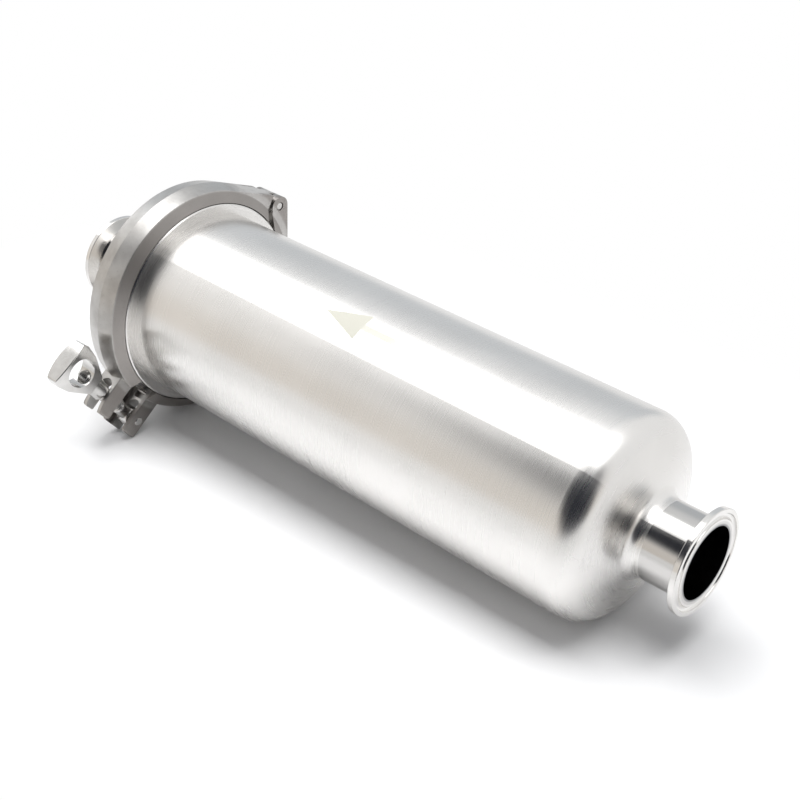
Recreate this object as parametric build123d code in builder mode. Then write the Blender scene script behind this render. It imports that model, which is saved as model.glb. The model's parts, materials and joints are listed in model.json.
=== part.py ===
from build123d import *
from math import acos, atan2, cos, degrees, hypot, radians, sin, tan
import os

# Sanitary inline filter: a 101.6 mm housing between two 38.1 mm tri-clamp ferrules.
# The housing lies as it rests on a table: on its clamp ring, on the lower lug and on the
# edge of the inlet dome. All pieces are drawn about the flow axis, which leans a little.

os.makedirs("parts", exist_ok=True)

# Housing tube, dome and cap
body_radius = 50.8
body_wall = 2.0
body_inner_radius = body_radius - body_wall
body_length = 256.5
dome_straight = 13.0
knuckle_radius = 14.0
crown_radius = 100.0
neck_radius = 19.05
neck_wall = 1.65
neck_blend = 5.0
dome_neck_length = 6.0
cap_straight = 3.0

# Small ferrules for the 38.1 mm line
ferrule_radius = 25.25
ferrule_rim = 2.85
rim_round = 0.4
flange_taper = 20.0
inlet_ferrule_length = 21.5
outlet_ferrule_length = 21.5
line_groove_radius = 21.8
line_groove_round = 1.4

# Large ferrules at the joint, and the gasket between them
collar_wall = 5.7
collar_radius = body_radius + collar_wall
flange_overhang = 3.0
flange_radius = collar_radius + flange_overhang
flange_rim = 2.85
collar_length = 12.7
collar_chamfer = 0.6
gasket_groove_inset = 5.5
gasket_groove_radius = flange_radius - gasket_groove_inset
gasket_groove_round = 1.5
gasket_thickness = 1.6
gasket_bead_clearance = 0.1
gasket_edge_clearance = 0.3

# Clamp ring, a channel that narrows outwards
groove_floor_clearance = 0.7
clamp_rim_wall = 2.6
clamp_outer_radius = flange_radius + groove_floor_clearance + clamp_rim_wall
clamp_ridge_rise = 1.9
clamp_ridge_radius = clamp_outer_radius + clamp_ridge_rise
clamp_half_width = 9.3
clamp_lip_half_width = 13.0
clamp_clearance = 0.3
lip_clearance = 0.5
clamp_lip_radius = collar_radius + lip_clearance
clamp_edge_round = 0.7
clamp_lip_round = 0.5

# Lugs that the bolt draws together
split_half_gap = 7.3
lug_projection = 20.6
lug_reach = clamp_outer_radius + lug_projection
lug_root_depth = 12.0
lug_root = clamp_outer_radius - lug_root_depth
lug_half_width = 9.2
upper_lug_outer_half_width = 6.8
lower_lug_outer_half_width = 7.6
upper_lug_height = 15.0
lower_lug_height = 18.8
lug_tip_round = 1.2
lug_edge_round = 0.6
lug_floor = 11.8
lug_wall = 2.2
slot_half_width = 4.55
slot_end_step = 6.4
slot_end_reach = clamp_outer_radius + slot_end_step
seat_roll_off = 21.0
recess_depth = 4.3
recess_start = clamp_outer_radius - recess_depth
prong_wall = 1.2
prong_floor = 11.8
pocket_half_width = 4.0
pocket_length = 3.4
pocket_depth = 2.4
pocket_inset = 1.2
pocket_reach = clamp_outer_radius - pocket_inset
pocket_round = 0.8

# Hinge at the far side of the ring
hinge_offset = 5.7
hinge_step = 6.3
hinge_reach = clamp_outer_radius + hinge_step
hinge_eye_radius = 5.7
hinge_pin_radius = 2.4
pin_running_fit = 0.06
pin_press_fit = 0.01
pin_end_recess = 0.5
pin_chamfer = 0.5
tongue_half_width = 3.6
tongue_side_clearance = 0.35
tongue_round_clearance = 0.5
upper_end_inner = -1.4
upper_end_outer = 2.9
lower_end_inner = -8.9
lower_end_outer = -1.5

# Swing bolt, its pin and the wing nut
bolt_step = 11.4
bolt_reach = clamp_outer_radius + bolt_step
bolt_lean = 2.5
bolt_pin_drop = 13.8
bolt_radius = 3.9
bolt_eye_radius = 5.6
bolt_eye_side_clearance = 0.35
bolt_pin_radius = 2.5
bolt_length = 46.0
bolt_end_chamfer = 0.8
nut_seat_clearance = 0.7
thread_clearance = 0.08
nut_barrel_radius = 5.4
nut_flare_start = 9.0
nut_flare_end = 21.0
nut_flare_half_width = 11.6
nut_widest_height = 28.5
nut_widest_half_width = 13.2
nut_shoulder_height = 32.6
nut_shoulder_half_width = 12.3
nut_crown_rise = 1.0
nut_half_thickness = 5.6
nut_lens_half_length = 16.0
nut_flare_round = 4.0
nut_shoulder_round = 1.5
nut_edge_round = 0.5
nut_eye_radius = 8.0
nut_eye_height = 23.0

# Filter element inside the housing
element_radius = 30.0
element_wall = 1.5
element_length = 232.0
screen_wall = 0.5
screen_margin = 2.0
sleeve_fit = 0.05
hole_radius = 4.0
hole_rows = 9
hole_row_spacing = 24.0
holes_around = 8
seat_ring_radius = 24.0
seat_ring_wall = 3.0
seat_ring_length = 17.0
seat_ring_gap = 0.05
o_ring_round = 1.0
o_ring_gap = 0.05
o_ring_setback = 7.0
socket_fit = 0.3
socket_depth = 14.0
socket_web = 3.3
spigot_length = 6.0
spigot_fit = 0.1
end_cap_thickness = 3.0
band_width = 7.0
band_wall = 0.8
band_setback = 4.0
fin_count = 3
fin_thickness = 2.5
fin_length = 24.0
fin_hub_radius = 10.0
fin_wall_clearance = 0.3

# Places along the flow axis, measured from the middle of the clamp joint
joint_face = gasket_thickness / 2
rim_back = joint_face + flange_rim
collar_end = joint_face + collar_length
tube_end = collar_end + body_length
dome_tangent = tube_end + dome_straight
cap_tangent = collar_end + cap_straight


def crown_rise(radius, wall=0.0):
    """Height of the crown sphere above the knuckle's centre plane, at a given radius."""
    centre_drop = ((crown_radius - knuckle_radius) ** 2 - (body_radius - knuckle_radius) ** 2) ** 0.5
    return ((crown_radius - wall) ** 2 - radius**2) ** 0.5 - centre_drop


dome_depth = crown_rise(neck_radius) + dome_neck_length
dome_end = dome_tangent + dome_depth
inlet_face = dome_end + inlet_ferrule_length
cap_end = cap_tangent + dome_depth
outlet_face = cap_end + outlet_ferrule_length

# Rest pose: the ridge of the clamp, the tip of the lower lug and the dome's knuckle touch the table
knuckle_centre_radius = body_radius - knuckle_radius
ridge_step = clamp_ridge_radius - knuckle_centre_radius
axis_lean = degrees(acos(knuckle_radius / hypot(ridge_step, dome_tangent)) - atan2(dome_tangent, ridge_step))
tip_round_reach = lug_reach - lug_tip_round
tip_round_drop = lower_lug_height - lug_tip_round
tip_depth = clamp_ridge_radius - lug_tip_round - lower_lug_outer_half_width * tan(radians(axis_lean))
tip_angle = atan2(tip_round_drop, tip_round_reach)
closure_roll = degrees(tip_angle + acos(tip_depth / hypot(tip_round_reach, tip_round_drop)))

# Directions: along the flow axis, out to the closure, and along the bolt towards its nut
flow_way = Vector(1, 0, 0).rotate(Axis.Y, axis_lean)
closure_way = Vector(0, 0, -1).rotate(Axis.X, -closure_roll).rotate(Axis.Y, axis_lean)
bolt_way = closure_way.cross(flow_way)
joint_centre = flow_way * -inlet_face
flow_axis = Axis(joint_centre, flow_way)

# Profiles of turned pieces lie in (flow, radius); outlines of the clamp in (bolt, closure)
profile_plane = Plane(joint_centre, x_dir=flow_way, z_dir=closure_way)
clamp_plane = Plane(joint_centre, x_dir=bolt_way, z_dir=flow_way)
hinge_plane = Plane(
    joint_centre - bolt_way * hinge_offset - closure_way * hinge_reach, x_dir=bolt_way, z_dir=flow_way
)
bolt_pin_plane = Plane(
    joint_centre - bolt_way * bolt_pin_drop + closure_way * bolt_reach, x_dir=bolt_way, z_dir=flow_way
)
lug_plane = Plane(joint_centre + closure_way * lug_root, x_dir=flow_way, z_dir=closure_way)


def across_bolt(height):
    """Plane across the bolt at a height above the split; x runs to the closure, y along the flow."""
    return Plane(joint_centre + bolt_way * height, x_dir=closure_way, z_dir=bolt_way)


def across_flow(place):
    """Plane across the flow axis; x runs along the bolt, y to the closure."""
    return Plane(joint_centre + flow_way * place, x_dir=bolt_way, z_dir=flow_way)


# Turned pieces of the housing
def dished_line(side, seam, tangent, end, wall, neck, blend):
    """Outer or inner line of a dished end: straight, knuckle, crown, blend and neck."""
    crown_centre = tangent - ((crown_radius - knuckle_radius) ** 2 - knuckle_centre_radius**2) ** 0.5
    crown = crown_radius - wall
    to_knuckle = crown / (crown_radius - knuckle_radius)
    knuckle_end = (
        side * (crown_centre + (tangent - crown_centre) * to_knuckle),
        knuckle_centre_radius * to_knuckle,
    )
    blend_centre = crown_centre + ((crown + blend) ** 2 - (neck + blend) ** 2) ** 0.5
    to_blend = crown / (crown + blend)
    crown_end = (side * (crown_centre + (blend_centre - crown_centre) * to_blend), (neck + blend) * to_blend)
    straight = Line((side * seam, body_radius - wall), (side * tangent, body_radius - wall))
    knuckle = TangentArc(straight @ 1, knuckle_end, tangent=straight % 1)
    dish = TangentArc(knuckle @ 1, crown_end, tangent=knuckle % 1)
    foot = TangentArc(dish @ 1, (side * blend_centre, neck), tangent=dish % 1)
    Line(foot @ 1, (side * end, neck))


def dished_end(side, seam, tangent, end):
    """Pressed end of the housing with its short drawn neck; side is 1 at the inlet, -1 at the outlet."""
    with BuildPart() as shell:
        with BuildSketch(profile_plane):
            with BuildLine():
                dished_line(side, seam, tangent, end, 0, neck_radius, neck_blend)
                dished_line(
                    side, seam, tangent, end, body_wall, neck_radius - neck_wall, neck_blend + neck_wall
                )
                Line((side * seam, body_inner_radius), (side * seam, body_radius))
                Line((side * end, neck_radius - neck_wall), (side * end, neck_radius))
            make_face()
        revolve(axis=flow_axis)
    return shell


def line_ferrule(side, start, face):
    """Ferrule for the process line: a neck, a tapered flange and a round gasket groove."""
    taper_run = (ferrule_radius - neck_radius) * tan(radians(flange_taper))
    with BuildPart() as ferrule:
        with BuildSketch(profile_plane) as outline:
            with BuildLine():
                Polyline(
                    (side * start, neck_radius - neck_wall),
                    (side * start, neck_radius),
                    (side * (face - ferrule_rim - taper_run), neck_radius),
                    (side * (face - ferrule_rim), ferrule_radius),
                    (side * face, ferrule_radius),
                    (side * face, neck_radius - neck_wall),
                    close=True,
                )
            make_face()
            fillet(outline.vertices().group_by(Axis.Y)[-1], rim_round)
            with Locations((side * face, line_groove_radius)):
                Circle(line_groove_round, mode=Mode.SUBTRACT)
        revolve(axis=flow_axis)
    return ferrule


def joint_ferrule(side):
    """Heavy ferrule at the clamp joint: tapered rim, thick collar and a round gasket groove."""
    taper_run = (flange_radius - collar_radius) * tan(radians(flange_taper))
    with BuildPart() as ferrule:
        with BuildSketch(profile_plane) as outline:
            with BuildLine():
                Polyline(
                    (side * joint_face, body_inner_radius),
                    (side * joint_face, flange_radius),
                    (side * rim_back, flange_radius),
                    (side * (rim_back + taper_run), collar_radius),
                    (side * (collar_end - collar_chamfer), collar_radius),
                    (side * collar_end, collar_radius - collar_chamfer),
                    (side * collar_end, body_inner_radius),
                    close=True,
                )
            make_face()
            fillet(outline.vertices().group_by(Axis.Y)[-1], rim_round)
            with Locations((side * joint_face, gasket_groove_radius)):
                Circle(gasket_groove_round, mode=Mode.SUBTRACT)
        revolve(axis=flow_axis)
    return ferrule


inlet_dome = dished_end(1, tube_end, dome_tangent, dome_end)
inlet_dome.part.label = "inlet_dome"
export_step(inlet_dome.part, "parts/inlet_dome.step")

cap_dome = dished_end(-1, collar_end, cap_tangent, cap_end)
cap_dome.part.label = "cap_dome"
export_step(cap_dome.part, "parts/cap_dome.step")

inlet_ferrule = line_ferrule(1, dome_end, inlet_face)
inlet_ferrule.part.label = "inlet_ferrule"
export_step(inlet_ferrule.part, "parts/inlet_ferrule.step")

outlet_ferrule = line_ferrule(-1, cap_end, outlet_face)
outlet_ferrule.part.label = "outlet_ferrule"
export_step(outlet_ferrule.part, "parts/outlet_ferrule.step")

body_ferrule = joint_ferrule(1)
body_ferrule.part.label = "body_ferrule"
export_step(body_ferrule.part, "parts/body_ferrule.step")

cap_ferrule = joint_ferrule(-1)
cap_ferrule.part.label = "cap_ferrule"
export_step(cap_ferrule.part, "parts/cap_ferrule.step")

with BuildPart() as body_tube:
    with BuildSketch(across_flow(collar_end)):
        Circle(body_radius)
        Circle(body_inner_radius, mode=Mode.SUBTRACT)
    extrude(amount=body_length)
body_tube.part.label = "body_tube"
export_step(body_tube.part, "parts/body_tube.step")

# Gasket with a round bead on each side that seats in the two grooves
with BuildPart() as main_gasket:
    with BuildSketch(profile_plane):
        with BuildLine():
            Polyline(
                (-joint_face, body_inner_radius),
                (-joint_face, flange_radius - gasket_edge_clearance),
                (joint_face, flange_radius - gasket_edge_clearance),
                (joint_face, body_inner_radius),
                close=True,
            )
        make_face()
        with Locations((-joint_face, gasket_groove_radius), (joint_face, gasket_groove_radius)):
            Circle(gasket_groove_round - gasket_bead_clearance)
    revolve(axis=flow_axis)
main_gasket.part.label = "main_gasket"
export_step(main_gasket.part, "parts/main_gasket.step")


# Clamp halves
def clamp_envelope():
    """Outer form that both halves share: the narrowing ring and the web out to the hinge."""
    with BuildPart() as envelope:
        with BuildSketch(profile_plane) as ring:
            with BuildLine():
                Polyline(
                    (-clamp_lip_half_width, 0),
                    (-clamp_lip_half_width, clamp_lip_radius),
                    (-clamp_half_width, clamp_outer_radius),
                    (0, clamp_ridge_radius),
                    (clamp_half_width, clamp_outer_radius),
                    (clamp_lip_half_width, clamp_lip_radius),
                    (clamp_lip_half_width, 0),
                    close=True,
                )
            make_face()
            levels = ring.vertices().group_by(Axis.Y)
            fillet(levels[-2], clamp_edge_round)
            fillet(ring.vertices().group_by(Axis.Y)[1], clamp_lip_round)
        revolve(axis=flow_axis)
        with BuildSketch(clamp_plane):
            Circle(clamp_outer_radius)
            with Locations((-hinge_offset, -hinge_reach)):
                Circle(hinge_eye_radius)
            make_hull()
        extrude(amount=clamp_half_width, both=True)
    return envelope.part


def lug(direction, outer_height, outer_half_width):
    """Lug with drafted sides, from the ring out to its rounded tip; direction is 1 up, -1 down."""
    with BuildPart() as block:
        with BuildSketch(lug_plane):
            with BuildLine():
                Polyline(
                    (-lug_half_width, direction * split_half_gap),
                    (lug_half_width, direction * split_half_gap),
                    (outer_half_width, direction * outer_height),
                    (-outer_half_width, direction * outer_height),
                    close=True,
                )
            make_face()
        extrude(amount=lug_reach - lug_root)
        long_edges = block.edges().filter_by(Axis(joint_centre, closure_way))
        fillet(long_edges.sort_by(Axis(joint_centre, bolt_way * direction))[-2:], lug_edge_round)
        fillet(block.faces().sort_by(Axis(joint_centre, closure_way))[-1].edges(), lug_tip_round)
    return block.part


def flange_room():
    """Groove that takes the two flanges: bore at the lips, tapered faces and a clear floor."""
    floor_radius = flange_radius + groove_floor_clearance
    slope = tan(radians(flange_taper))
    face_offset = rim_back + clamp_clearance / cos(radians(flange_taper))
    lip_place = face_offset + (flange_radius - clamp_lip_radius) * slope
    floor_place = face_offset - groove_floor_clearance * slope
    with BuildPart() as room:
        with BuildSketch(profile_plane):
            with BuildLine():
                Polyline(
                    (-lug_reach, 0),
                    (-lug_reach, clamp_lip_radius),
                    (-lip_place, clamp_lip_radius),
                    (-floor_place, floor_radius),
                    (floor_place, floor_radius),
                    (lip_place, clamp_lip_radius),
                    (lug_reach, clamp_lip_radius),
                    (lug_reach, 0),
                    close=True,
                )
            make_face()
        revolve(axis=flow_axis)
    return room.part


def bolt_slot(low, high):
    """Room for the bolt between two heights, with a round inner end and an open mouth."""
    with BuildPart() as slot:
        with BuildSketch(across_bolt(low)):
            with Locations((slot_end_reach, 0)):
                Circle(slot_half_width)
            with Locations((slot_end_reach + lug_reach / 2, 0)):
                Rectangle(lug_reach, 2 * slot_half_width)
        extrude(amount=high - low)
    return slot.part


def lug_recess():
    """Recess between the lower lug's side walls, open to the split and at the tip."""
    with BuildPart() as recess:
        with BuildSketch(across_bolt(-split_half_gap)):
            with Locations((recess_start + lug_reach / 2, 0)):
                Rectangle(lug_reach, 2 * (lug_half_width - lug_wall))
        extrude(amount=split_half_gap - lug_floor)
    return recess.part


def prong_pockets():
    """A pocket in each prong of the upper lug, between a wall at the slot and one outside."""
    pocket_width = upper_lug_outer_half_width - prong_wall - slot_half_width
    pocket_middle = slot_half_width + prong_wall + pocket_width / 2
    with BuildPart() as pockets:
        with BuildSketch(across_bolt(split_half_gap)):
            for side in (-1, 1):
                with Locations((slot_end_reach + lug_reach / 2, side * pocket_middle)):
                    Rectangle(lug_reach, pocket_width)
        extrude(amount=prong_floor - split_half_gap)
    return pockets.part


def ring_pocket(height, depth):
    """Small cored pocket beside the ring, in front of the slot."""
    with BuildPart() as pocket:
        with BuildSketch(across_bolt(height)):
            with Locations((pocket_reach, 0)):
                RectangleRounded(pocket_length, 2 * pocket_half_width, pocket_round)
        extrude(amount=depth)
    return pocket.part


far = 4 * lug_reach
eye_gap_half_width = tongue_half_width + tongue_side_clearance
clamp_form = clamp_envelope()
clamp_groove = flange_room()
lower_lug = lug(-1, lower_lug_height, lower_lug_outer_half_width)
lower_recess = lug_recess()
lower_slot = bolt_slot(-far, -split_half_gap)
lower_pocket = ring_pocket(-lug_floor, -pocket_depth)
upper_lug = lug(1, upper_lug_height, upper_lug_outer_half_width)
upper_recess = prong_pockets()
upper_slot = bolt_slot(0, far)

# Lower half: two hinge eyes, and the fork that holds the swing bolt
with BuildPart() as clamp_lower_half:
    add(clamp_form)
    add(lower_lug)
    with BuildSketch(clamp_plane):
        with BuildLine():
            Polyline(
                (-split_half_gap, far),
                (-split_half_gap, 0),
                (lower_end_inner, -clamp_lip_radius),
                (lower_end_outer, -hinge_reach + hinge_eye_radius / 2),
                (-hinge_offset, -hinge_reach),
                (-hinge_offset, -far),
                (far, -far),
                (far, far),
                close=True,
            )
        make_face()
    extrude(amount=far, both=True, mode=Mode.SUBTRACT)
    with BuildSketch(hinge_plane):
        Circle(hinge_eye_radius)
    extrude(amount=clamp_half_width, both=True)
    add(clamp_groove, mode=Mode.SUBTRACT)
    with BuildSketch(hinge_plane):
        Circle(hinge_eye_radius + tongue_round_clearance)
        with Locations((far / 2 - tongue_round_clearance, 0)):
            Rectangle(far, 2 * (hinge_reach - clamp_lip_radius + tongue_round_clearance))
    extrude(amount=eye_gap_half_width, both=True, mode=Mode.SUBTRACT)
    with BuildSketch(hinge_plane):
        Circle(hinge_pin_radius + pin_press_fit)
    extrude(amount=clamp_half_width, both=True, mode=Mode.SUBTRACT)
    add(lower_recess, mode=Mode.SUBTRACT)
    add(lower_slot, mode=Mode.SUBTRACT)
    add(lower_pocket, mode=Mode.SUBTRACT)
    with BuildSketch(bolt_pin_plane):
        Circle(bolt_pin_radius + pin_press_fit)
    extrude(amount=clamp_half_width, both=True, mode=Mode.SUBTRACT)
clamp_lower_half.part.label = "clamp_lower_half"
export_step(clamp_lower_half.part, "parts/clamp_lower_half.step")

# Upper half: one hinge tongue, and the slotted lug that carries the nut
with BuildPart() as clamp_upper_half:
    add(clamp_form)
    add(upper_lug)
    with BuildSketch(clamp_plane):
        with BuildLine():
            Polyline(
                (split_half_gap, far),
                (split_half_gap, 0),
                (-hinge_offset, -clamp_lip_radius),
                (-hinge_offset, -far),
                (-far, -far),
                (-far, far),
                close=True,
            )
        make_face()
    extrude(amount=far, both=True, mode=Mode.SUBTRACT)
    for side in (-1, 1):
        with BuildSketch(across_flow(side * tongue_half_width)):
            with BuildLine():
                Polyline(
                    (upper_end_inner, 0),
                    (upper_end_inner, -clamp_lip_radius),
                    (upper_end_outer, -hinge_reach),
                    (upper_end_outer, -far),
                    (-far, -far),
                    (-far, 0),
                    close=True,
                )
            make_face()
        extrude(amount=side * far, mode=Mode.SUBTRACT)
    with BuildSketch(hinge_plane):
        Circle(hinge_eye_radius)
    extrude(amount=tongue_half_width, both=True)
    add(clamp_groove, mode=Mode.SUBTRACT)
    with BuildSketch(hinge_plane):
        Circle(hinge_pin_radius + pin_running_fit)
    extrude(amount=clamp_half_width, both=True, mode=Mode.SUBTRACT)
    add(upper_recess, mode=Mode.SUBTRACT)
    add(upper_slot, mode=Mode.SUBTRACT)
    with BuildSketch(bolt_pin_plane):
        with BuildLine():
            seat_height = bolt_pin_drop + upper_lug_height
            roll = JernArc((seat_height, 0), (0, 1), seat_roll_off, 60)
            Polyline(roll @ 1, (far, (roll @ 1).Y), (far, 0), (seat_height, 0))
        make_face()
    extrude(amount=clamp_half_width, both=True, mode=Mode.SUBTRACT)
clamp_upper_half.part.label = "clamp_upper_half"
export_step(clamp_upper_half.part, "parts/clamp_upper_half.step")


# Pins, swing bolt and wing nut
def cross_pin(plane, radius):
    """Pin across the clamp, a little shorter than the lug is wide, with chamfered ends."""
    with BuildPart() as pin:
        with BuildSketch(plane):
            Circle(radius)
        extrude(amount=clamp_half_width - pin_end_recess, both=True)
        chamfer(pin.edges().filter_by(GeomType.CIRCLE), pin_chamfer)
    return pin


hinge_pin = cross_pin(hinge_plane, hinge_pin_radius)
hinge_pin.part.label = "hinge_pin"
export_step(hinge_pin.part, "parts/hinge_pin.step")

bolt_pin = cross_pin(bolt_pin_plane, bolt_pin_radius)
bolt_pin.part.label = "bolt_pin"
export_step(bolt_pin.part, "parts/bolt_pin.step")

bolt_foot = bolt_pin_plane.origin
shank_way = bolt_way.rotate(Axis((0, 0, 0), flow_way), -bolt_lean)
shank_side = flow_way.cross(shank_way)
shank_plane = Plane(bolt_foot, x_dir=shank_side, z_dir=shank_way)
nut_base_height = bolt_pin_drop + upper_lug_height + nut_seat_clearance
nut_plane = shank_plane.offset(nut_base_height)
nut_outline_plane = Plane(nut_plane.origin, x_dir=shank_side, z_dir=-flow_way)

with BuildPart() as swing_bolt:
    with BuildSketch(bolt_pin_plane):
        Circle(bolt_eye_radius)
    extrude(amount=slot_half_width - bolt_eye_side_clearance, both=True)
    with BuildSketch(shank_plane):
        Circle(bolt_radius)
    extrude(amount=bolt_length)
    chamfer(swing_bolt.faces().sort_by(Axis(bolt_foot, shank_way))[-1].edges(), bolt_end_chamfer)
    with BuildSketch(bolt_pin_plane):
        Circle(bolt_pin_radius + pin_running_fit)
    extrude(amount=clamp_half_width, both=True, mode=Mode.SUBTRACT)
swing_bolt.part.label = "swing_bolt"
export_step(swing_bolt.part, "parts/swing_bolt.step")

# Wing nut: a round barrel that flares into a head with a large eye, thickest at its middle
with BuildPart() as wing_nut:
    with BuildSketch(nut_outline_plane) as nut_outline:
        with BuildLine():
            flank = Polyline(
                (nut_barrel_radius, nut_flare_start),
                (nut_flare_half_width, nut_flare_end),
                (nut_widest_half_width, nut_widest_height),
                (nut_shoulder_half_width, nut_shoulder_height),
            )
            crown = ThreePointArc(
                flank @ 1,
                (0, nut_shoulder_height + nut_crown_rise),
                (-nut_shoulder_half_width, nut_shoulder_height),
            )
            Polyline(
                crown @ 1,
                (-nut_widest_half_width, nut_widest_height),
                (-nut_flare_half_width, nut_flare_end),
                (-nut_barrel_radius, nut_flare_start),
                flank @ 0,
            )
        make_face()
        fillet(nut_outline.vertices().group_by(Axis.Y)[1], nut_flare_round)
        fillet(nut_outline.vertices().group_by(Axis.Y)[-1], nut_shoulder_round)
    extrude(amount=nut_lens_half_length, both=True)
    with BuildSketch(nut_plane):
        Ellipse(nut_lens_half_length, nut_half_thickness)
    extrude(amount=nut_shoulder_height + nut_widest_height, mode=Mode.INTERSECT)
    nut_faces = wing_nut.faces().sort_by(Axis(joint_centre, flow_way))
    fillet(nut_faces[0].edges() + nut_faces[-1].edges(), nut_edge_round)
    with BuildSketch(nut_outline_plane):
        with Locations((0, nut_eye_height)):
            Circle(nut_eye_radius)
    extrude(amount=nut_lens_half_length, both=True, mode=Mode.SUBTRACT)
    with BuildSketch(nut_plane):
        Circle(nut_barrel_radius)
    extrude(amount=nut_eye_height)
    with BuildSketch(nut_plane):
        Circle(bolt_radius + thread_clearance)
    extrude(amount=nut_eye_height, mode=Mode.SUBTRACT)
    with BuildSketch(nut_outline_plane):
        with Locations((0, nut_eye_height)):
            Circle(nut_eye_radius)
    extrude(amount=nut_barrel_radius, both=True, mode=Mode.SUBTRACT)
wing_nut.part.label = "wing_nut"
export_step(wing_nut.part, "parts/wing_nut.step")


# Filter element: its collar sits over a ring welded in the cap, its fins centre the far end
seat_ring_foot = -(cap_tangent + crown_rise(seat_ring_radius, body_wall)) + seat_ring_gap
seat_ring_top = seat_ring_foot + seat_ring_length
socket_floor = seat_ring_top + socket_fit
socket_mouth = socket_floor - socket_depth
element_start = socket_floor + socket_web
element_end = element_start + element_length
socket_radius = seat_ring_radius + socket_fit
seat_ring_bore = seat_ring_radius - seat_ring_wall
tube_bore = element_radius - element_wall
screen_radius = element_radius + sleeve_fit + screen_wall
o_ring_radius = socket_radius - o_ring_round - o_ring_gap
o_ring_place = seat_ring_top - o_ring_setback
o_ring_room = o_ring_round + o_ring_gap


def sleeve(start, length, outer, bore):
    """Round tube about the flow axis."""
    with BuildPart() as tube:
        with BuildSketch(across_flow(start)):
            Circle(outer)
            Circle(bore, mode=Mode.SUBTRACT)
        extrude(amount=length)
    return tube


with BuildPart() as seat_ring:
    with BuildSketch(across_flow(seat_ring_foot)):
        Circle(seat_ring_radius)
        Circle(seat_ring_bore, mode=Mode.SUBTRACT)
    extrude(amount=seat_ring_length)
    with BuildSketch(across_flow(o_ring_place - o_ring_room)):
        Circle(2 * seat_ring_radius)
        Circle(o_ring_radius - o_ring_room, mode=Mode.SUBTRACT)
    extrude(amount=2 * o_ring_room, mode=Mode.SUBTRACT)
seat_ring.part.label = "seat_ring"
export_step(seat_ring.part, "parts/seat_ring.step")

with BuildPart() as collar_o_ring:
    with BuildSketch(profile_plane):
        with Locations((o_ring_place, o_ring_radius)):
            Circle(o_ring_round)
    revolve(axis=flow_axis)
collar_o_ring.part.label = "collar_o_ring"
export_step(collar_o_ring.part, "parts/collar_o_ring.step")

with BuildPart() as element_collar:
    with BuildSketch(profile_plane):
        with BuildLine():
            Polyline(
                (socket_mouth, socket_radius),
                (socket_mouth, element_radius),
                (element_start, element_radius),
                (element_start, tube_bore - spigot_fit),
                (element_start + spigot_length, tube_bore - spigot_fit),
                (element_start + spigot_length, seat_ring_bore),
                (socket_floor, seat_ring_bore),
                (socket_floor, socket_radius),
                close=True,
            )
        make_face()
    revolve(axis=flow_axis)
element_collar.part.label = "element_collar"
export_step(element_collar.part, "parts/element_collar.step")

with BuildPart() as support_tube:
    with BuildSketch(across_flow(element_start)):
        Circle(element_radius)
        Circle(tube_bore, mode=Mode.SUBTRACT)
    extrude(amount=element_length)
    row_centre = joint_centre + flow_way * (element_start + element_end) / 2
    for turn in range(holes_around // 2):
        outward = closure_way.rotate(Axis((0, 0, 0), flow_way), turn * 360 / holes_around)
        with BuildSketch(Plane(row_centre, x_dir=flow_way, z_dir=outward)):
            with GridLocations(hole_row_spacing, 1, hole_rows, 1):
                Circle(hole_radius)
        extrude(amount=2 * element_radius, both=True, mode=Mode.SUBTRACT)
support_tube.part.label = "support_tube"
export_step(support_tube.part, "parts/support_tube.step")

filter_screen = sleeve(
    element_start + screen_margin,
    element_length - 2 * screen_margin,
    screen_radius,
    element_radius + sleeve_fit,
)
filter_screen.part.label = "filter_screen"
export_step(filter_screen.part, "parts/filter_screen.step")

band_places = {
    "screen_band_outlet": element_start + band_setback,
    "screen_band_inlet": element_end - band_setback - band_width,
}
for band_name, band_place in band_places.items():
    screen_band = sleeve(
        band_place, band_width, screen_radius + sleeve_fit + band_wall, screen_radius + sleeve_fit
    )
    screen_band.part.label = band_name
    export_step(screen_band.part, f"parts/{band_name}.step")

with BuildPart() as element_end_cap:
    with BuildSketch(across_flow(element_end)):
        Circle(element_radius)
    extrude(amount=end_cap_thickness)
    with BuildSketch(across_flow(element_end)):
        Circle(tube_bore - spigot_fit)
    extrude(amount=-spigot_length)
element_end_cap.part.label = "element_end_cap"
export_step(element_end_cap.part, "parts/element_end_cap.step")

with BuildPart() as centring_fins:
    fin_reach = body_inner_radius - fin_wall_clearance
    with BuildSketch(across_flow(element_end + end_cap_thickness)):
        Circle(fin_hub_radius)
        with PolarLocations(fin_reach / 2, fin_count):
            Rectangle(fin_reach, fin_thickness)
    extrude(amount=fin_length)
centring_fins.part.label = "centring_fins"
export_step(centring_fins.part, "parts/centring_fins.step")
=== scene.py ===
import json
import math

import bpy
import numpy as np
from mathutils import Matrix, Vector


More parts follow.
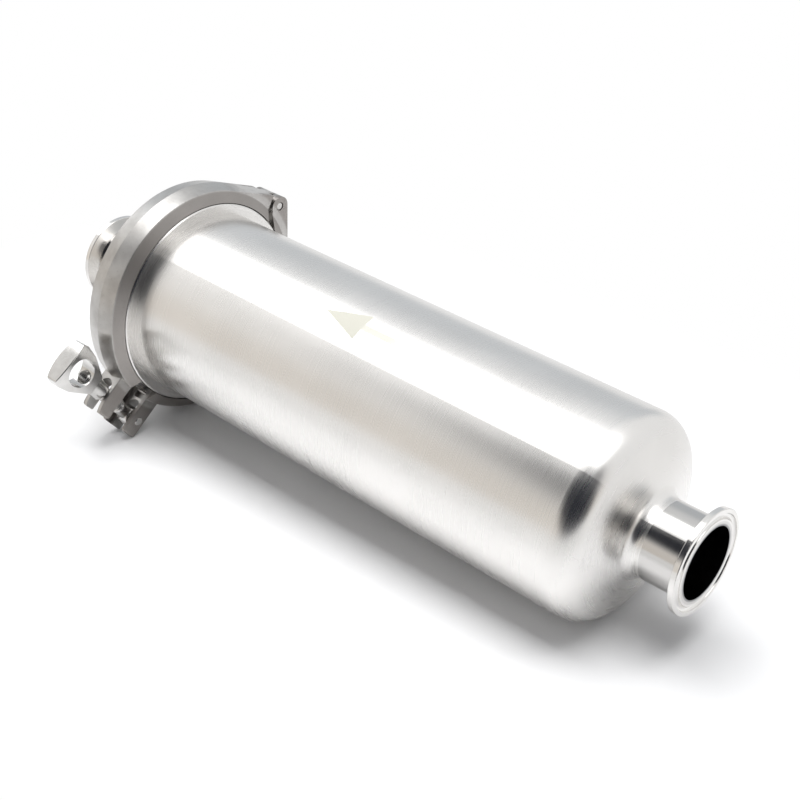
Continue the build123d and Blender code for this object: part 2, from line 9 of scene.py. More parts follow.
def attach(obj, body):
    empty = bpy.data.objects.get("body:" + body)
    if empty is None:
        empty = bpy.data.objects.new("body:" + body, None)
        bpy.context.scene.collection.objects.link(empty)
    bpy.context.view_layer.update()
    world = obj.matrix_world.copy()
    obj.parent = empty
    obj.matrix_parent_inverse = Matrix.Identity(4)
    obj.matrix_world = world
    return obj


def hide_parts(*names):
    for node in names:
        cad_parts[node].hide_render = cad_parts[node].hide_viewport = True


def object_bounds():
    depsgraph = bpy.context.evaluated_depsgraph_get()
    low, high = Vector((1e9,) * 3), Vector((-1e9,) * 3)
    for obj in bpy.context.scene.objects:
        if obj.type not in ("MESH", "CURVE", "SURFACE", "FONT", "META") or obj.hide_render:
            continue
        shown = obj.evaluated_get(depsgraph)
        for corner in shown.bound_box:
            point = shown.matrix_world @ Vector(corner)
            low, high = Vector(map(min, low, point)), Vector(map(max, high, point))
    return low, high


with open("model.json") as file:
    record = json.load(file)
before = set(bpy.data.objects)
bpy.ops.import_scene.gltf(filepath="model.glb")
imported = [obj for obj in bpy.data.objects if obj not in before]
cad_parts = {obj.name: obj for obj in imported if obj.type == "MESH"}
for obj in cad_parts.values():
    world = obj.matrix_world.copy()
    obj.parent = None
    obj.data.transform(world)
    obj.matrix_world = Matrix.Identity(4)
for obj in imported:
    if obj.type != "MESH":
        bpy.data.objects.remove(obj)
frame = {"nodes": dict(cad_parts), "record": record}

bl_info = {
    "name": "Sanitary Inline Filter",
    "version": (1, 0, 0),
    "blender": (4, 5, 0),
    "location": "3D View > Sidebar > Filter",
    "description": "Dresses a sanitary inline filter: brushed housing, cast clamp, threaded swing bolt and studio",
    "category": "Object",
}

# The frame's own lines: the flow axis, the bolt's way to its nut and the way out to the closure
MOUNTS = {mount["name"]: mount for mount in frame["record"]["mounts"]}
JOINTS = {joint["name"]: joint for joint in frame["record"]["behaviour"]["joints"]}
FLOW_WAY = Vector(MOUNTS["inlet_bore"]["axis"])
BOLT_WAY = Vector(JOINTS["wing_nut_turn"]["axis"])
CLOSURE_WAY = FLOW_WAY.cross(BOLT_WAY)
BOLT_FOOT = Vector(JOINTS["bolt_swing"]["pos_m"])
JOINT_CENTRE = FLOW_WAY * BOLT_FOOT.dot(FLOW_WAY)
NODES = frame["nodes"]
CAD_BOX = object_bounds()

BORE_TONE = (0.20, 0.20, 0.205)

POLISHED_NODES = ("inlet_ferrule", "outlet_ferrule")
TURNED_NODES = ("body_ferrule", "cap_ferrule", "seat_ring", "element_collar", "element_end_cap")
DRAWN_NODES = ("hinge_pin", "bolt_pin")
ROLLED_NODES = ("support_tube", "screen_band_outlet", "screen_band_inlet", "centring_fins")
RUBBER_NODES = ("main_gasket", "collar_o_ring")


class Wire:
    """A node's output that takes part in arithmetic; each operation adds its Math node."""

    def __init__(self, graph, socket):
        self.graph = graph
        self.socket = socket

    def math(self, operation, *others):
        values = {place: value for place, value in enumerate((self, *others))}
        return self.graph.node("ShaderNodeMath", {"operation": operation}, values)

    def __add__(self, other):
        return self.math("ADD", other)

    __radd__ = __add__

    def __sub__(self, other):
        return self.math("SUBTRACT", other)

    def __rsub__(self, other):
        return self.graph.node("ShaderNodeMath", {"operation": "SUBTRACT"}, {0: other, 1: self})

    def __mul__(self, other):
        return self.math("MULTIPLY", other)

    __rmul__ = __mul__

    def __truediv__(self, other):
        return self.math("DIVIDE", other)

    def __rtruediv__(self, other):
        return self.graph.node("ShaderNodeMath", {"operation": "DIVIDE"}, {0: other, 1: self})

    def __neg__(self):
        return self.math("MULTIPLY", -1.0)

    def __abs__(self):
        return self.math("ABSOLUTE")

    def hypot(self, other):
        return (self * self + other * other).math("SQRT")

    def angle_to(self, other):
        """Angle, in radians, of the point whose first coordinate this is."""
        return other.math("ARCTAN2", self)

    def least(self, other):
        return self.math("MINIMUM", other)

    def most(self, other):
        return self.math("MAXIMUM", other)

    def step(self, low, high):
        """0 up to low, 1 from high, and a smooth rise between them."""
        return self.graph.node(
            "ShaderNodeMapRange",
            {"interpolation_type": "SMOOTHSTEP"},
            {"Value": self, "From Min": low, "From Max": high},
        )


class Graph:
    """A material's node tree, with one method that makes every node."""

    def __init__(self, owner):
        owner.use_nodes = True
        self.tree = owner.node_tree
        self.tree.nodes.clear()

    def node(self, kind, settings=None, values=None, output=0):
        made = self.tree.nodes.new(kind)
        for name, value in (settings or {}).items():
            if name == "stops":
                elements = made.color_ramp.elements
                while len(elements) < len(value):
                    elements.new(1.0)
                for element, (place, colour) in zip(elements, value):
                    element.position = place
                    element.color = (*colour, 1.0)
            else:
                setattr(made, name, value)
        for name, value in (values or {}).items():
            socket = made.inputs[name]
            if isinstance(value, Wire):
                self.tree.links.new(value.socket, socket)
            else:
                socket.default_value = value
        return Wire(self, made.outputs[output])

    def split(self, vector):
        """The three numbers of a vector."""
        made = self.node("ShaderNodeSeparateXYZ", None, {"Vector": vector}).socket.node
        return [Wire(self, socket) for socket in made.outputs]

    def vector(self, x, y, z):
        return self.node("ShaderNodeCombineXYZ", None, {"X": x, "Y": y, "Z": z})

    def noise(self, vector, scale, detail=2.0, roughness=0.5):
        """Noise of 0 to 1 about 0.5."""
        return self.node(
            "ShaderNodeTexNoise",
            {"noise_dimensions": "3D"},
            {"Vector": vector, "Scale": scale, "Detail": detail, "Roughness": roughness},
        )

    def blend(self, amount, first, second):
        """Colour that goes from the first to the second as the amount goes from 0 to 1."""
        made = self.tree.nodes.new("ShaderNodeMix")
        made.data_type = "RGBA"
        for name, value in (("Factor", amount), ("A", first), ("B", second)):
            matching = [s for s in made.inputs if s.name == name and s.type in ("VALUE", "RGBA")]
            socket = matching[0] if name == "Factor" else [s for s in matching if s.type == "RGBA"][0]
            if isinstance(value, Wire):
                self.tree.links.new(value.socket, socket)
            else:
                socket.default_value = value if name == "Factor" else (*value, 1.0)
        return Wire(self, [s for s in made.outputs if s.type == "RGBA"][0])

    def axial(self, origin=JOINT_CENTRE, ways=(FLOW_WAY, BOLT_WAY, CLOSURE_WAY)):
        """Object coordinates turned so that x runs along the flow axis from the clamp joint."""
        turn = Matrix(ways)
        place = self.node("ShaderNodeTexCoord", None, None, "Object")
        return self.node(
            "ShaderNodeMapping",
            {"vector_type": "POINT"},
            {"Vector": place, "Rotation": turn.to_euler("XYZ"), "Location": -(turn @ origin)},
        )

    def darker_inside(self, colour, radius):
        """The same colour, darker on the bore of a neck or a ferrule, which sees little light."""
        return self.blend(1.0 - radius.step(0.0178, 0.0186), colour, BORE_TONE)

    def bump(self, height, distance, strength=1.0):
        return self.node(
            "ShaderNodeBump", None, {"Height": height, "Distance": distance, "Strength": strength}
        )

    def surface(self, **values):
        """Principled surface as the tree's output; names use underscores for spaces."""
        shader = self.node(
            "ShaderNodeBsdfPrincipled", None, {name.replace("_", " "): value for name, value in values.items()}
        )
        self.node_output(shader)
        return shader

    def shown(self):
        """1 for the rays that show the background: to the camera, in a reflection or through glass."""
        path = self.node("ShaderNodeLightPath").socket.node.outputs
        camera, glossy, through = (
            Wire(self, path[name]) for name in ("Is Camera Ray", "Is Glossy Ray", "Is Transmission Ray")
        )
        return camera.most(glossy).most(through)

    def mix_output(self, amount, first, second, output="ShaderNodeOutputMaterial"):
        """The tree's output, from the first shader to the second as the amount goes from 0 to 1."""
        mixed = self.node("ShaderNodeMixShader", None, {0: amount, 1: first, 2: second})
        made = self.tree.nodes.new(output)
        self.tree.links.new(mixed.socket, made.inputs["Surface"])

    def node_output(self, shader):
        made = self.tree.nodes.new("ShaderNodeOutputMaterial")
        self.tree.links.new(shader.socket, made.inputs["Surface"])


def new_material(name):
    """An empty material and the graph that fills it."""
    material = bpy.data.materials.new(name)
    return material, Graph(material)


def mesh_piece(name, points, faces, material, body, smooth=True):
    """A piece from its points in metres and its faces, riding on a body of the frame."""
    mesh = bpy.data.meshes.new(name)
    mesh.from_pydata(points.tolist(), [], faces.tolist())
    mesh.validate()
    mesh.polygons.foreach_set("use_smooth", np.full(len(mesh.polygons), smooth))
    mesh.materials.append(material)
    mesh.update()
    piece = bpy.data.objects.new(name, mesh)
    bpy.context.scene.collection.objects.link(piece)
    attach(piece, body)
    return piece


def grid_faces(rows, columns, close_rows=False, close_columns=False):
    """Quads of a grid of points in row order; a closed way joins its last line to its first."""
    row = np.arange(rows if close_rows else rows - 1)
    column = np.arange(columns if close_columns else columns - 1)
    r, c = np.meshgrid(row, column, indexing="ij")
    r2, c2 = (r + 1) % rows, (c + 1) % columns
    quads = np.stack([r * columns + c, r * columns + c2, r2 * columns + c2, r2 * columns + c], axis=-1)
    return quads.reshape(-1, 4)


def dress(names, material):
    """Gives the frame's own nodes a finish."""
    for name in names:
        slots = NODES[name].data.materials
        slots.clear()
        slots.append(material)
        NODES[name].data.update()


class FILTER_housing_settings(bpy.types.PropertyGroup):
    steel: bpy.props.FloatVectorProperty(
        name="Steel", description="Colour of the satin steel", default=(0.80, 0.785, 0.765), subtype="COLOR", min=0, max=1
    )
    roughness: bpy.props.FloatProperty(
        name="Roughness", description="Mean roughness of the brushed face", default=0.28, min=0, max=1
    )
    brush_pitch: bpy.props.FloatProperty(
        name="Brush pitch", description="Spacing of the brush lines", default=0.0006, unit="LENGTH"
    )
    arrow_mark: bpy.props.FloatVectorProperty(
        name="Arrow mark", description="Colour of the etched flow arrow", default=(0.58, 0.57, 0.50), subtype="COLOR",
        min=0, max=1
    )
    arrow_tip: bpy.props.FloatProperty(
        name="Arrow tip", description="Arrow tip from the clamp joint", default=0.1233, unit="LENGTH"
    )
    arrow_head: bpy.props.FloatProperty(
        name="Arrow head", description="Length of the arrow's head", default=0.0248, unit="LENGTH"
    )
    arrow_half_width: bpy.props.FloatProperty(
        name="Arrow half width", description="Half the width of the arrow's head", default=0.0082, unit="LENGTH"
    )
    arrow_length: bpy.props.FloatProperty(
        name="Arrow length", description="Whole length of the arrow", default=0.070, unit="LENGTH"
    )
    arrow_side: bpy.props.FloatProperty(
        name="Arrow side", description="Angle of the arrow around the housing, from the bolt's way", default=-0.240,
        unit="ROTATION"
    )


class FILTER_clamp_settings(bpy.types.PropertyGroup):
    steel: bpy.props.FloatVectorProperty(
        name="Cast steel", description="Colour of the clamp's rim", default=(0.54, 0.53, 0.515), subtype="COLOR", min=0,
        max=1
    )
    # Side faces carry painted shade: their colour is darkened for the shadowed floor and housing that they reflect
    shaded_side_steel: bpy.props.FloatVectorProperty(
        name="Side faces", description="Colour of the clamp's blasted side faces", default=(0.33, 0.31, 0.295),
        subtype="COLOR", min=0, max=1
    )
    roughness: bpy.props.FloatProperty(
        name="Roughness", description="Mean roughness of the tumbled casting", default=0.33, min=0, max=1
    )
    grain: bpy.props.FloatProperty(
        name="Grain", description="Size of the casting's skin grain", default=0.0009, unit="LENGTH"
    )


class FILTER_bolt_settings(bpy.types.PropertyGroup):
    thread_pitch: bpy.props.FloatProperty(
        name="Thread pitch", description="Pitch of the swing bolt's thread", default=0.00125, unit="LENGTH"
    )
    thread_depth: bpy.props.FloatProperty(
        name="Thread depth", description="Depth of the thread from crest to root", default=0.00062, unit="LENGTH"
    )
    shank_radius: bpy.props.FloatProperty(
        name="Shank radius", description="Radius of the thread's crests", default=0.0039, unit="LENGTH"
    )
    plain_length: bpy.props.FloatProperty(
        name="Plain length", description="Plain shank above the eye", default=0.011, unit="LENGTH"
    )
    shank_length: bpy.props.FloatProperty(
        name="Shank length", description="From the pin's centre to the bolt's tip", default=0.046, unit="LENGTH"
    )
    tip_chamfer: bpy.props.FloatProperty(
        name="Tip chamfer", description="Chamfer of the bolt's tip", default=0.0008, unit="LENGTH"
    )
    eye_radius: bpy.props.FloatProperty(
        name="Eye radius", description="Outer radius of the bolt's eye", default=0.0056, unit="LENGTH"
    )
    eye_half_width: bpy.props.FloatProperty(
        name="Eye half width", description="Half the width of the bolt's eye", default=0.0042, unit="LENGTH"
    )
    eye_bore: bpy.props.FloatProperty(
        name="Eye bore", description="Radius of the hole for the pin", default=0.00256, unit="LENGTH"
    )


class FILTER_stage_settings(bpy.types.PropertyGroup):
    floor_colour: bpy.props.FloatVectorProperty(
        name="Floor", description="Colour of the floor", default=(0.93, 0.93, 0.935), subtype="COLOR", min=0, max=1
    )
    focal_length: bpy.props.FloatProperty(
        name="Focal length", description="Camera's focal length in millimetres", default=62.28
    )
    overhead_power: bpy.props.FloatProperty(
        name="Overhead power", description="Power of the overhead soft light, in watts", default=8.0
    )
    floor_power: bpy.props.FloatProperty(
        name="Floor power", description="Power of the soft light for the floor, in watts", default=16.0
    )
    fill_level: bpy.props.FloatProperty(
        name="Fill level", description="Strength of the even light from all around", default=0.28
    )


class FILTER_OT_housing(bpy.types.Operator):
    """Brushed housing, its dome and its cap, with the etched flow arrow"""

    bl_idname = "filter.housing"
    bl_label = "Brushed housing"

    def execute(self, context):
        sizes = context.scene.filter_housing
        steel, roughness = tuple(sizes.steel), sizes.roughness
        for name, is_tube in (("body_tube", True), ("inlet_dome", False), ("cap_dome", False)):
            material, graph = new_material("Brushed steel, " + name.replace("_", " "))
            along, up, out = graph.split(graph.axial())
            around = up.angle_to(out)
            radius = up.hypot(out)
            # Brush lines run around the housing: fine along the axis and along the radius, long around it
            lines = graph.noise(
                graph.vector((along + radius * 0.7) / sizes.brush_pitch, up * 14.0, out * 14.0), 1.0, 3.0, 0.65
            )
            cloud = graph.noise(graph.vector(along * 18.0, up * 30.0, out * 30.0), 1.0, 3.0, 0.55)
            darker = tuple(value * 0.93 for value in steel)
            colour = graph.blend(cloud.step(0.3, 0.7), darker, steel)
            rough = roughness + (lines - 0.5) * 0.10 + (cloud - 0.5) * 0.06
            metallic = 1.0
            if is_tube:
                # The arrow lies on the tube: a head that widens from its tip, then a narrow shaft that fades
                aside = abs((around - sizes.arrow_side) * 0.0508)
                behind = along - sizes.arrow_tip
                edge = 0.00025
                head_share = sizes.arrow_half_width / sizes.arrow_head
                head = (behind * head_share - aside).step(0.0, edge) * (1.0 - behind.step(sizes.arrow_head - edge, sizes.arrow_head))
                shaft_start = behind.step(sizes.arrow_head - 2 * edge, sizes.arrow_head)
                shaft_end = 1.0 - behind.step(sizes.arrow_length * 0.55, sizes.arrow_length)
                shaft = (1.0 - aside.step(0.0017, 0.0017 + edge)) * shaft_start * shaft_end
                etched = head.most(shaft * 0.8)
                metallic = 1.0 - etched
                colour = graph.blend(etched, colour, tuple(sizes.arrow_mark))
                rough = rough + etched * 0.22
            graph.surface(
                Base_Color=graph.darker_inside(colour, radius),
                Metallic=metallic,
                Roughness=rough.least(0.9).most(0.05),
                Normal=graph.bump(lines, 0.000006, 0.25),
            )
            dress((name,), material)
        return {"FINISHED"}


class FILTER_OT_turned_rings(bpy.types.Operator):
    """Ferrules and collars, polished or fine-turned in rings about the flow axis"""

    bl_idname = "filter.turned_rings"
    bl_label = "Turned rings"

    def execute(self, context):
        steel = tuple(context.scene.filter_housing.steel)
        finishes = (
            ("Polished ferrule steel", POLISHED_NODES, 0.15, 0.00045, 0.97),
            ("Fine-turned steel", TURNED_NODES, 0.27, 0.00035, 0.93),
        )
        for title, names, roughness, pitch, shade in finishes:
            material, graph = new_material(title)
            along, up, out = graph.split(graph.axial())
            radius = up.hypot(out)
            rings = graph.noise(
                graph.vector((along + radius) / pitch, (along - radius) / (4 * pitch), 0.0), 1.0, 2.0, 0.6
            )
            cloud = graph.noise(graph.vector(along * 60.0, up * 60.0, out * 60.0), 1.0, 2.0)
            tone = tuple(value * shade for value in steel)
            colour = graph.blend(cloud.step(0.3, 0.7), tuple(value * 0.94 for value in tone), tone)
            # Ferrule necks under 19.2 mm radius are darker: painted shade of the dim reflections where the neck meets
            # the dome, together with a duller tone of the neck's own steel
            colour = graph.blend(1.0 - radius.step(0.0192, 0.0198), colour, tuple(value * 0.76 for value in tone))
            graph.surface(
                Base_Color=graph.darker_inside(colour, radius),
                Metallic=1.0,
                Roughness=(roughness + (rings - 0.5) * 0.09 + (cloud - 0.5) * 0.05).most(0.04),
                Normal=graph.bump(rings, 0.00001, 0.5),
            )
            dress(names, material)
        return {"FINISHED"}


class FILTER_OT_clamp(bpy.types.Operator):
    """Cast clamp halves with the soft grain of a tumbled casting"""

    bl_idname = "filter.clamp"
    bl_label = "Cast clamp"

    def execute(self, context):
        sizes = context.scene.filter_clamp
        material, graph = new_material("Tumbled cast steel")
        place = graph.node("ShaderNodeTexCoord", None, None, "Object")
        along, up, out = graph.split(graph.axial())
        radius = up.hypot(out)
        grain = graph.noise(place, 1.0 / sizes.grain, 3.0, 0.6)
        cloud = graph.noise(place, 70.0, 3.0, 0.55)
        # Side faces of the ring and of the lugs are coarser than the rim, and darker with painted shade for the
        # shadowed floor and housing that they reflect
        ring_side = abs(along).step(0.0091, 0.0099)
        lug_side = radius.step(0.0655, 0.0675) * abs(along).step(0.0062, 0.0070)
        side = ring_side.most(lug_side)
        # The rim has the casting's own tone; the side tone is painted shade, and the cloud and grain below vary both at
        # random
        rim, shaded = tuple(sizes.steel), tuple(sizes.shaded_side_steel)
        colour = graph.blend(side, rim, shaded)
        colour = graph.blend(cloud.step(0.3, 0.7) * 0.5, colour, tuple(value * 0.9 for value in shaded))
        colour = graph.blend(grain.step(0.58, 0.78) * 0.45, colour, tuple(value * 0.7 for value in shaded))
        graph.surface(
            Base_Color=colour,
            Metallic=1.0,
            Roughness=sizes.roughness + side * 0.08 + (grain - 0.5) * 0.16 + (cloud - 0.5) * 0.10,
            Normal=graph.bump(grain * 0.6 + cloud * 0.4, 0.00006, 0.45),
        )
        dress(("clamp_lower_half", "clamp_upper_half"), material)
        return {"FINISHED"}


class FILTER_OT_swing_bolt(bpy.types.Operator):
    """Swing bolt with its thread, and the two pins"""

    bl_idname = "filter.swing_bolt"
    bl_label = "Swing bolt and pins"

    def execute(self, context):
        sizes = context.scene.filter_bolt
        material, graph = new_material("Drawn steel")
        place = graph.node("ShaderNodeTexCoord", None, None, "Object")
        skin = graph.noise(place, 900.0, 2.0)
        cloud = graph.noise(place, 140.0, 2.0)
        colour = graph.blend(cloud.step(0.3, 0.7), (0.50, 0.49, 0.475), (0.62, 0.61, 0.595))
        graph.surface(
            Base_Color=colour,
            Metallic=1.0,
            Roughness=0.24 + (skin - 0.5) * 0.12 + (cloud - 0.5) * 0.08,
            Normal=graph.bump(skin, 0.00001, 0.5),
        )
        dress(DRAWN_NODES, material)

        shank_points, shank_faces = self.shank(sizes)
        eye_points, eye_faces = self.eye(sizes)
        points = np.concatenate([shank_points, eye_points])
        faces = np.concatenate([shank_faces, eye_faces + len(shank_points)])
        bolt = mesh_piece("threaded_swing_bolt", points, faces, material, "bolt")
        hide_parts("swing_bolt")
        return {"FINISHED"}

    @staticmethod
    def shank(sizes):
        """Shank about the bolt's way. Its radius at a height and an angle is the crest radius less
        the depth times a rounded saw of (height / pitch - angle / full turn), faded in above the
        plain length and cut by the tip's chamfer; the first and last rings close on the axis."""
        turns = 48
        start = sizes.eye_radius * 0.6
        height = np.arange(start, sizes.shank_length, sizes.thread_pitch / 10)
        height = np.append(height, sizes.shank_length)
        angle = np.arange(turns) / turns * 2 * np.pi
        h, a = np.meshgrid(height, angle, indexing="ij")
        phase = np.mod(h / sizes.thread_pitch - a / (2 * np.pi), 1.0)
        saw = np.abs(2 * phase - 1)
        groove = np.clip((0.90 - saw) / 0.78, 0, 1)
        share = np.clip((h - sizes.plain_length) / sizes.thread_pitch, 0, 1)
        radius = sizes.shank_radius - sizes.thread_depth * groove * share
        chamfer = sizes.shank_radius - sizes.tip_chamfer + (sizes.shank_length - h)
        radius = np.minimum(radius, chamfer)
        side = np.array(FLOW_WAY)[None, None] * np.cos(a)[..., None]
        side = side + np.array(CLOSURE_WAY)[None, None] * -np.sin(a)[..., None]
        rise = np.array(BOLT_WAY)[None, None] * h[..., None]
        grid = np.array(BOLT_FOOT) + rise + side * radius[..., None]
        ends = np.array(BOLT_FOOT) + np.array(BOLT_WAY)[None] * np.array([height[0], height[-1]])[:, None]
        points = np.concatenate([grid.reshape(-1, 3), ends])
        quads = grid_faces(len(height), turns, close_columns=True)
        ring = np.arange(turns)
        following = (ring + 1) % turns
        last = (len(height) - 1) * turns
        foot = np.stack([np.full(turns, len(points) - 2), following, ring, ring], axis=-1)
        tip = np.stack([np.full(turns, len(points) - 1), last + ring, last + following, last + following], axis=-1)
        return points, np.concatenate([quads, foot, tip])

    @staticmethod
    def eye(sizes):
        """Eye about its pin: the loop (outer radius, bore and both sides, with small rounds at the
        outer edges) carried around the pin's axis."""
        turns = 56
        half, outer, bore = sizes.eye_half_width, sizes.eye_radius, sizes.eye_bore
        round_off = 0.0006
        bend = np.linspace(0, np.pi / 2, 5)
        right = np.stack([half - round_off + round_off * np.sin(bend), outer - round_off + round_off * np.cos(bend)], 1)
        left = np.stack([-right[::-1, 0], right[::-1, 1]], 1)
        loop = np.concatenate([left, right, [[half, bore]], [[-half, bore]]])
        angle = np.arange(turns) / turns * 2 * np.pi
        across = np.array(BOLT_WAY)[None] * np.cos(angle)[:, None] + np.array(CLOSURE_WAY)[None] * np.sin(angle)[:, None]
        points = (
            np.array(BOLT_FOOT)
            + np.array(FLOW_WAY)[None, None] * loop[None, :, :1]
            + across[:, None] * loop[None, :, 1:]
        )
        return points.reshape(-1, 3), grid_faces(turns, len(loop), close_rows=True, close_columns=True)


class FILTER_OT_wing_nut(bpy.types.Operator):
    """Polished wing nut"""

    bl_idname = "filter.wing_nut"
    bl_label = "Wing nut"

    def execute(self, context):
        material, graph = new_material("Polished cast steel")
        place = graph.node("ShaderNodeTexCoord", None, None, "Object")
        cloud = graph.noise(place, 110.0, 3.0)
        skin = graph.noise(place, 1300.0, 2.0)
        colour = graph.blend(cloud.step(0.3, 0.7), (0.56, 0.55, 0.535), (0.66, 0.65, 0.635))
        graph.surface(
            Base_Color=colour,
            Metallic=1.0,
            Roughness=0.17 + (cloud - 0.5) * 0.12 + (skin - 0.5) * 0.06,
            Normal=graph.bump(cloud * 0.7 + skin * 0.3, 0.00005, 0.35),
        )
        dress(("wing_nut",), material)
        return {"FINISHED"}


class FILTER_OT_element(bpy.types.Operator):
    """Filter element: rolled sheet, woven screen and rubber seals"""

    bl_idname = "filter.element"
    bl_label = "Filter element and seals"

    def execute(self, context):
        material, graph = new_material("Rolled sheet steel")
        along, up, out = graph.split(graph.axial())
        roll = graph.noise(graph.vector(along * 60.0, up * 900.0, out * 900.0), 1.0, 2.0)
        graph.surface(
            Base_Color=graph.blend(roll, (0.62, 0.61, 0.595), (0.73, 0.72, 0.70)),
            Metallic=1.0,
            Roughness=0.30 + (roll - 0.5) * 0.14,
            Normal=graph.bump(roll, 0.00001, 0.5),
        )
        dress(ROLLED_NODES, material)

        material, graph = new_material("Woven wire")
        along, up, out = graph.split(graph.axial())
        around = up.angle_to(out) * 0.0306
        pitch = 0.0005
        warp = (along * (2 * math.pi / pitch)).math("SINE")
        weft = (around * (2 * math.pi / pitch)).math("SINE")
        weave = abs(warp).most(abs(weft))
        # Openings between the wires are painted dark: painted shade of the inside of the element seen through the
        # screen, while the wires keep the steel's tone
        graph.surface(
            Base_Color=graph.blend(weave.step(0.3, 0.9), (0.16, 0.155, 0.15), (0.62, 0.61, 0.59)),
            Metallic=1.0,
            Roughness=0.42 - weave * 0.12,
            Normal=graph.bump(weave, 0.00012, 0.7),
        )
        dress(("filter_screen",), material)

        material, graph = new_material("Seal rubber")
        place = graph.node("ShaderNodeTexCoord", None, None, "Object")
        bloom = graph.noise(place, 220.0, 4.0, 0.6)
        graph.surface(
            Base_Color=graph.blend(bloom.step(0.35, 0.75), (0.018, 0.018, 0.019), (0.04, 0.04, 0.042)),
            Roughness=0.52 + (bloom - 0.5) * 0.2,
            Normal=graph.bump(bloom, 0.00004, 0.4),
        )
        dress(RUBBER_NODES, material)
        return {"FINISHED"}


class FILTER_OT_stage(bpy.types.Operator):
    """Floor, studio light and the camera"""

    bl_idname = "filter.stage"
    bl_label = "Floor, light and camera"

    def execute(self, context):
        sizes = context.scene.filter_stage
        scene = context.scene
        scene.view_settings.view_transform = "Standard"
        self.floor(sizes)
        self.studio_world(scene, sizes)
        self.lamps(sizes)
        self.cards()
        self.camera(scene, sizes)
        return {"FINISHED"}

    @staticmethod
    def floor(sizes):
        """Flat floor under the filter; away from shadow the camera sees it as white."""
        low = CAD_BOX[0][2]
        middle = (Vector(CAD_BOX[0]) + Vector(CAD_BOX[1])) / 2
        half_length = (CAD_BOX[1][0] - CAD_BOX[0][0]) / 2 - 0.05
        half = 3.0
        corners = np.array([[-half, -half, low], [half, -half, low], [half, half, low], [-half, half, low]])
        mesh = bpy.data.meshes.new("floor")
        mesh.from_pydata(corners.tolist(), [], [(0, 1, 2, 3)])
        material, graph = new_material("Pale floor")
        place = graph.node("ShaderNodeTexCoord", None, None, "Object")
        x, y, z = graph.split(place)
        tone = tuple(sizes.floor_colour)
        speckle = graph.noise(place, 40.0, 2.0)
        lit = graph.node(
            "ShaderNodeBsdfPrincipled",
            None,
            {"Base Color": graph.blend(speckle, tuple(value * 0.995 for value in tone), tone), "Roughness": 0.8},
        )
        white = graph.node("ShaderNodeEmission", None, {"Color": (1.0, 1.0, 1.0, 1.0), "Strength": 1.0})
        beyond = (abs(x - middle.x) - half_length).most(0.0)
        away = beyond.hypot(y - middle.y)
        graph.mix_output(away.step(0.10, 0.26) * graph.shown(), lit, white)
        mesh.materials.append(material)
        floor = bpy.data.objects.new("floor", mesh)
        bpy.context.scene.collection.objects.link(floor)

    @staticmethod
    def studio_world(scene, sizes):
        """Pale walls, white and cool grey behind the filter and warmer before it, with a weaker fill."""
        world = bpy.data.worlds.new("Studio")
        scene.world = world
        world.use_nodes = True
        graph = Graph(world)
        way = graph.node("ShaderNodeTexCoord", None, None, "Generated")
        x, y, z = graph.split(way)
        cool = graph.node(
            "ShaderNodeValToRGB",
            {"stops": [(0.0, (0.86, 0.87, 0.88)), (0.06, (0.64, 0.67, 0.70)), (0.45, (0.67, 0.70, 0.73)), (0.80, (0.95, 0.96, 0.97))]},
            {"Fac": z},
        )
        warm = graph.node(
            "ShaderNodeValToRGB",
            {"stops": [(0.0, (0.84, 0.79, 0.73)), (0.30, (0.87, 0.83, 0.78)), (0.50, (1.0, 0.985, 0.965)), (0.80, (1.0, 1.0, 1.0))]},
            {"Fac": z},
        )
        for ramp in (cool, warm):
            ramp.socket.node.color_ramp.interpolation = "EASE"
        behind = graph.blend(x.step(-0.22, 0.02), cool, (0.97, 0.975, 0.98))
        walls = graph.blend(y.step(-0.25, 0.25), warm, behind)
        shown = graph.node("ShaderNodeBackground", None, {"Color": walls, "Strength": 1.0})
        fill = graph.node("ShaderNodeBackground", None, {"Color": (0.95, 0.97, 1.0, 1.0), "Strength": sizes.fill_level})
        graph.mix_output(graph.shown(), fill, shown, "ShaderNodeOutputWorld")

    @staticmethod
    def lamps(sizes):
        """Two soft boxes over the filter: a long one that the steel mirrors, and one for the floor."""
        boxes = (
            ("overhead_soft_box", (-0.75, 0.0, 0.9), (2.4, 0.62), sizes.overhead_power, True),
            ("floor_soft_box", (-0.15, -0.06, 1.4), (1.3, 0.8), sizes.floor_power, False),
        )
        for name, place, (length, width), power, in_steel in boxes:
            lamp = bpy.data.lights.new(name, "AREA")
            lamp.shape = "RECTANGLE"
            lamp.size, lamp.size_y = length, width
            lamp.energy = power
            holder = bpy.data.objects.new(name, lamp)
            holder.location = place
            holder.visible_glossy = in_steel
            bpy.context.scene.collection.objects.link(holder)

    @staticmethod
    def cards():
        """Dark card with a soft edge beside the camera, which only reflections see."""
        centre = Vector((-0.05, 0.0, 0.0))
        toward = Vector((0.41, -0.72, 0.58)).normalized()
        side = toward.cross(Vector((0, 0, 1))).normalized()
        rise = side.cross(toward).normalized()
        middle = centre + toward * 1.15
        half_side, half_rise = 1.90, 1.05
        material, graph = new_material("Dark card")
        across, up, out = graph.split(graph.axial(middle, (side, rise, toward)))
        dark = graph.node("ShaderNodeEmission", None, {"Color": (0.02, 0.022, 0.03, 1.0), "Strength": 1.0})
        clear = graph.node("ShaderNodeBsdfTransparent")
        away = (across / half_side).hypot(up / half_rise)
        graph.mix_output(away.step(0.60, 1.0), dark, clear)
        corners = [
            middle + side * (half_side * sx) + rise * (half_rise * sy)
            for sx, sy in ((-1, -1), (1, -1), (1, 1), (-1, 1))
        ]
        mesh = bpy.data.meshes.new("dark_card")
        mesh.from_pydata([tuple(corner) for corner in corners], [], [(0, 1, 2, 3)])
        mesh.materials.append(material)
        card = bpy.data.objects.new("dark_card", mesh)
        bpy.context.scene.collection.objects.link(card)
        card.visible_camera = False
        card.visible_diffuse = False
        card.visible_shadow = False

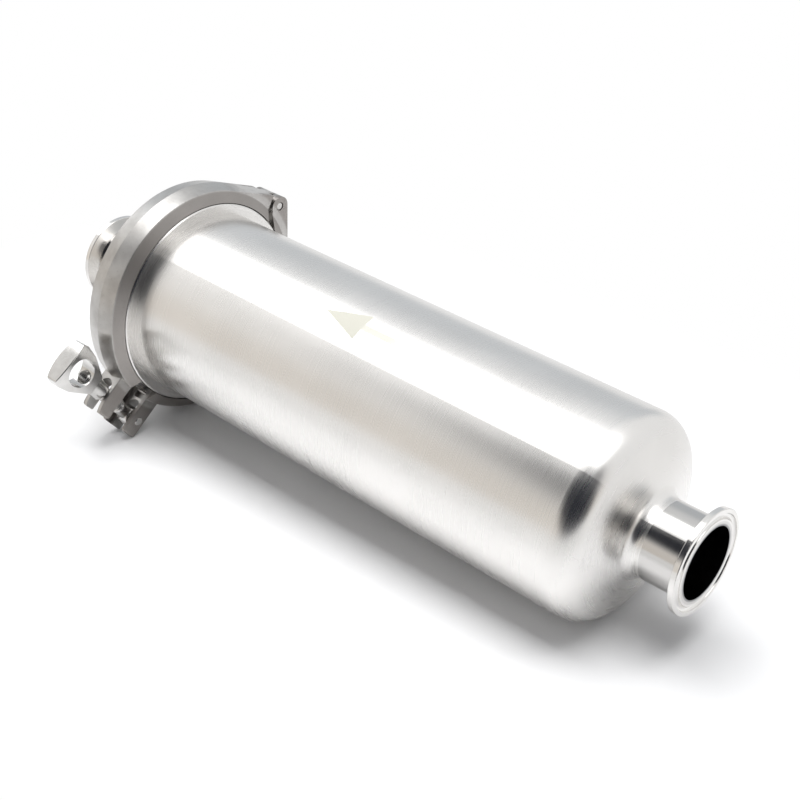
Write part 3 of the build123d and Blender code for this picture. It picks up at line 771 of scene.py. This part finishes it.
    @staticmethod
    def camera(scene, sizes):
        """Camera at the photograph's place and angle."""
        lens = bpy.data.cameras.new("camera")
        lens.sensor_width = 36.0
        lens.lens = sizes.focal_length
        lens.clip_start = 0.01
        lens.clip_end = 30.0
        holder = bpy.data.objects.new("camera", lens)
        right = Vector((0.7346, 0.6784, -0.0263)).normalized()
        back = -Vector((-0.5865, 0.6146, -0.5267)).normalized()
        up = back.cross(right).normalized()
        right = up.cross(back)
        holder.matrix_world = Matrix.Translation((0.22294, -0.41693, 0.36767)) @ Matrix((right, up, back)).transposed().to_4x4()
        bpy.context.scene.collection.objects.link(holder)
        scene.camera = holder


class FILTER_PT_panel(bpy.types.Panel):
    """Lists the filter's pieces in the sidebar"""

    bl_idname = "FILTER_PT_panel"
    bl_label = "Sanitary inline filter"
    bl_space_type = "VIEW_3D"
    bl_region_type = "UI"
    bl_category = "Filter"

    def draw(self, context):
        for operator in OPERATORS:
            self.layout.operator(operator.bl_idname)
        for name in SETTINGS:
            box = self.layout.box()
            group = getattr(context.scene, name)
            for key in group.bl_rna.properties.keys():
                if key not in ("rna_type", "name"):
                    box.prop(group, key)


OPERATORS = (
    FILTER_OT_stage,
    FILTER_OT_housing,
    FILTER_OT_turned_rings,
    FILTER_OT_clamp,
    FILTER_OT_swing_bolt,
    FILTER_OT_wing_nut,
    FILTER_OT_element,
)
SETTINGS = {
    "filter_housing": FILTER_housing_settings,
    "filter_clamp": FILTER_clamp_settings,
    "filter_bolt": FILTER_bolt_settings,
    "filter_stage": FILTER_stage_settings,
}


def register():
    for made in (*SETTINGS.values(), *OPERATORS, FILTER_PT_panel):
        bpy.utils.register_class(made)
    for name, group in SETTINGS.items():
        setattr(bpy.types.Scene, name, bpy.props.PointerProperty(type=group))


def unregister():
    for name in SETTINGS:
        delattr(bpy.types.Scene, name)
    for made in (FILTER_PT_panel, *reversed(OPERATORS), *reversed(list(SETTINGS.values()))):
        bpy.utils.unregister_class(made)


def main():
    register()
    bpy.ops.filter.stage()
    bpy.ops.filter.housing()
    bpy.ops.filter.turned_rings()
    bpy.ops.filter.clamp()
    bpy.ops.filter.swing_bolt()
    bpy.ops.filter.wing_nut()
    bpy.ops.filter.element()


if __name__ == "__main__":
    main()
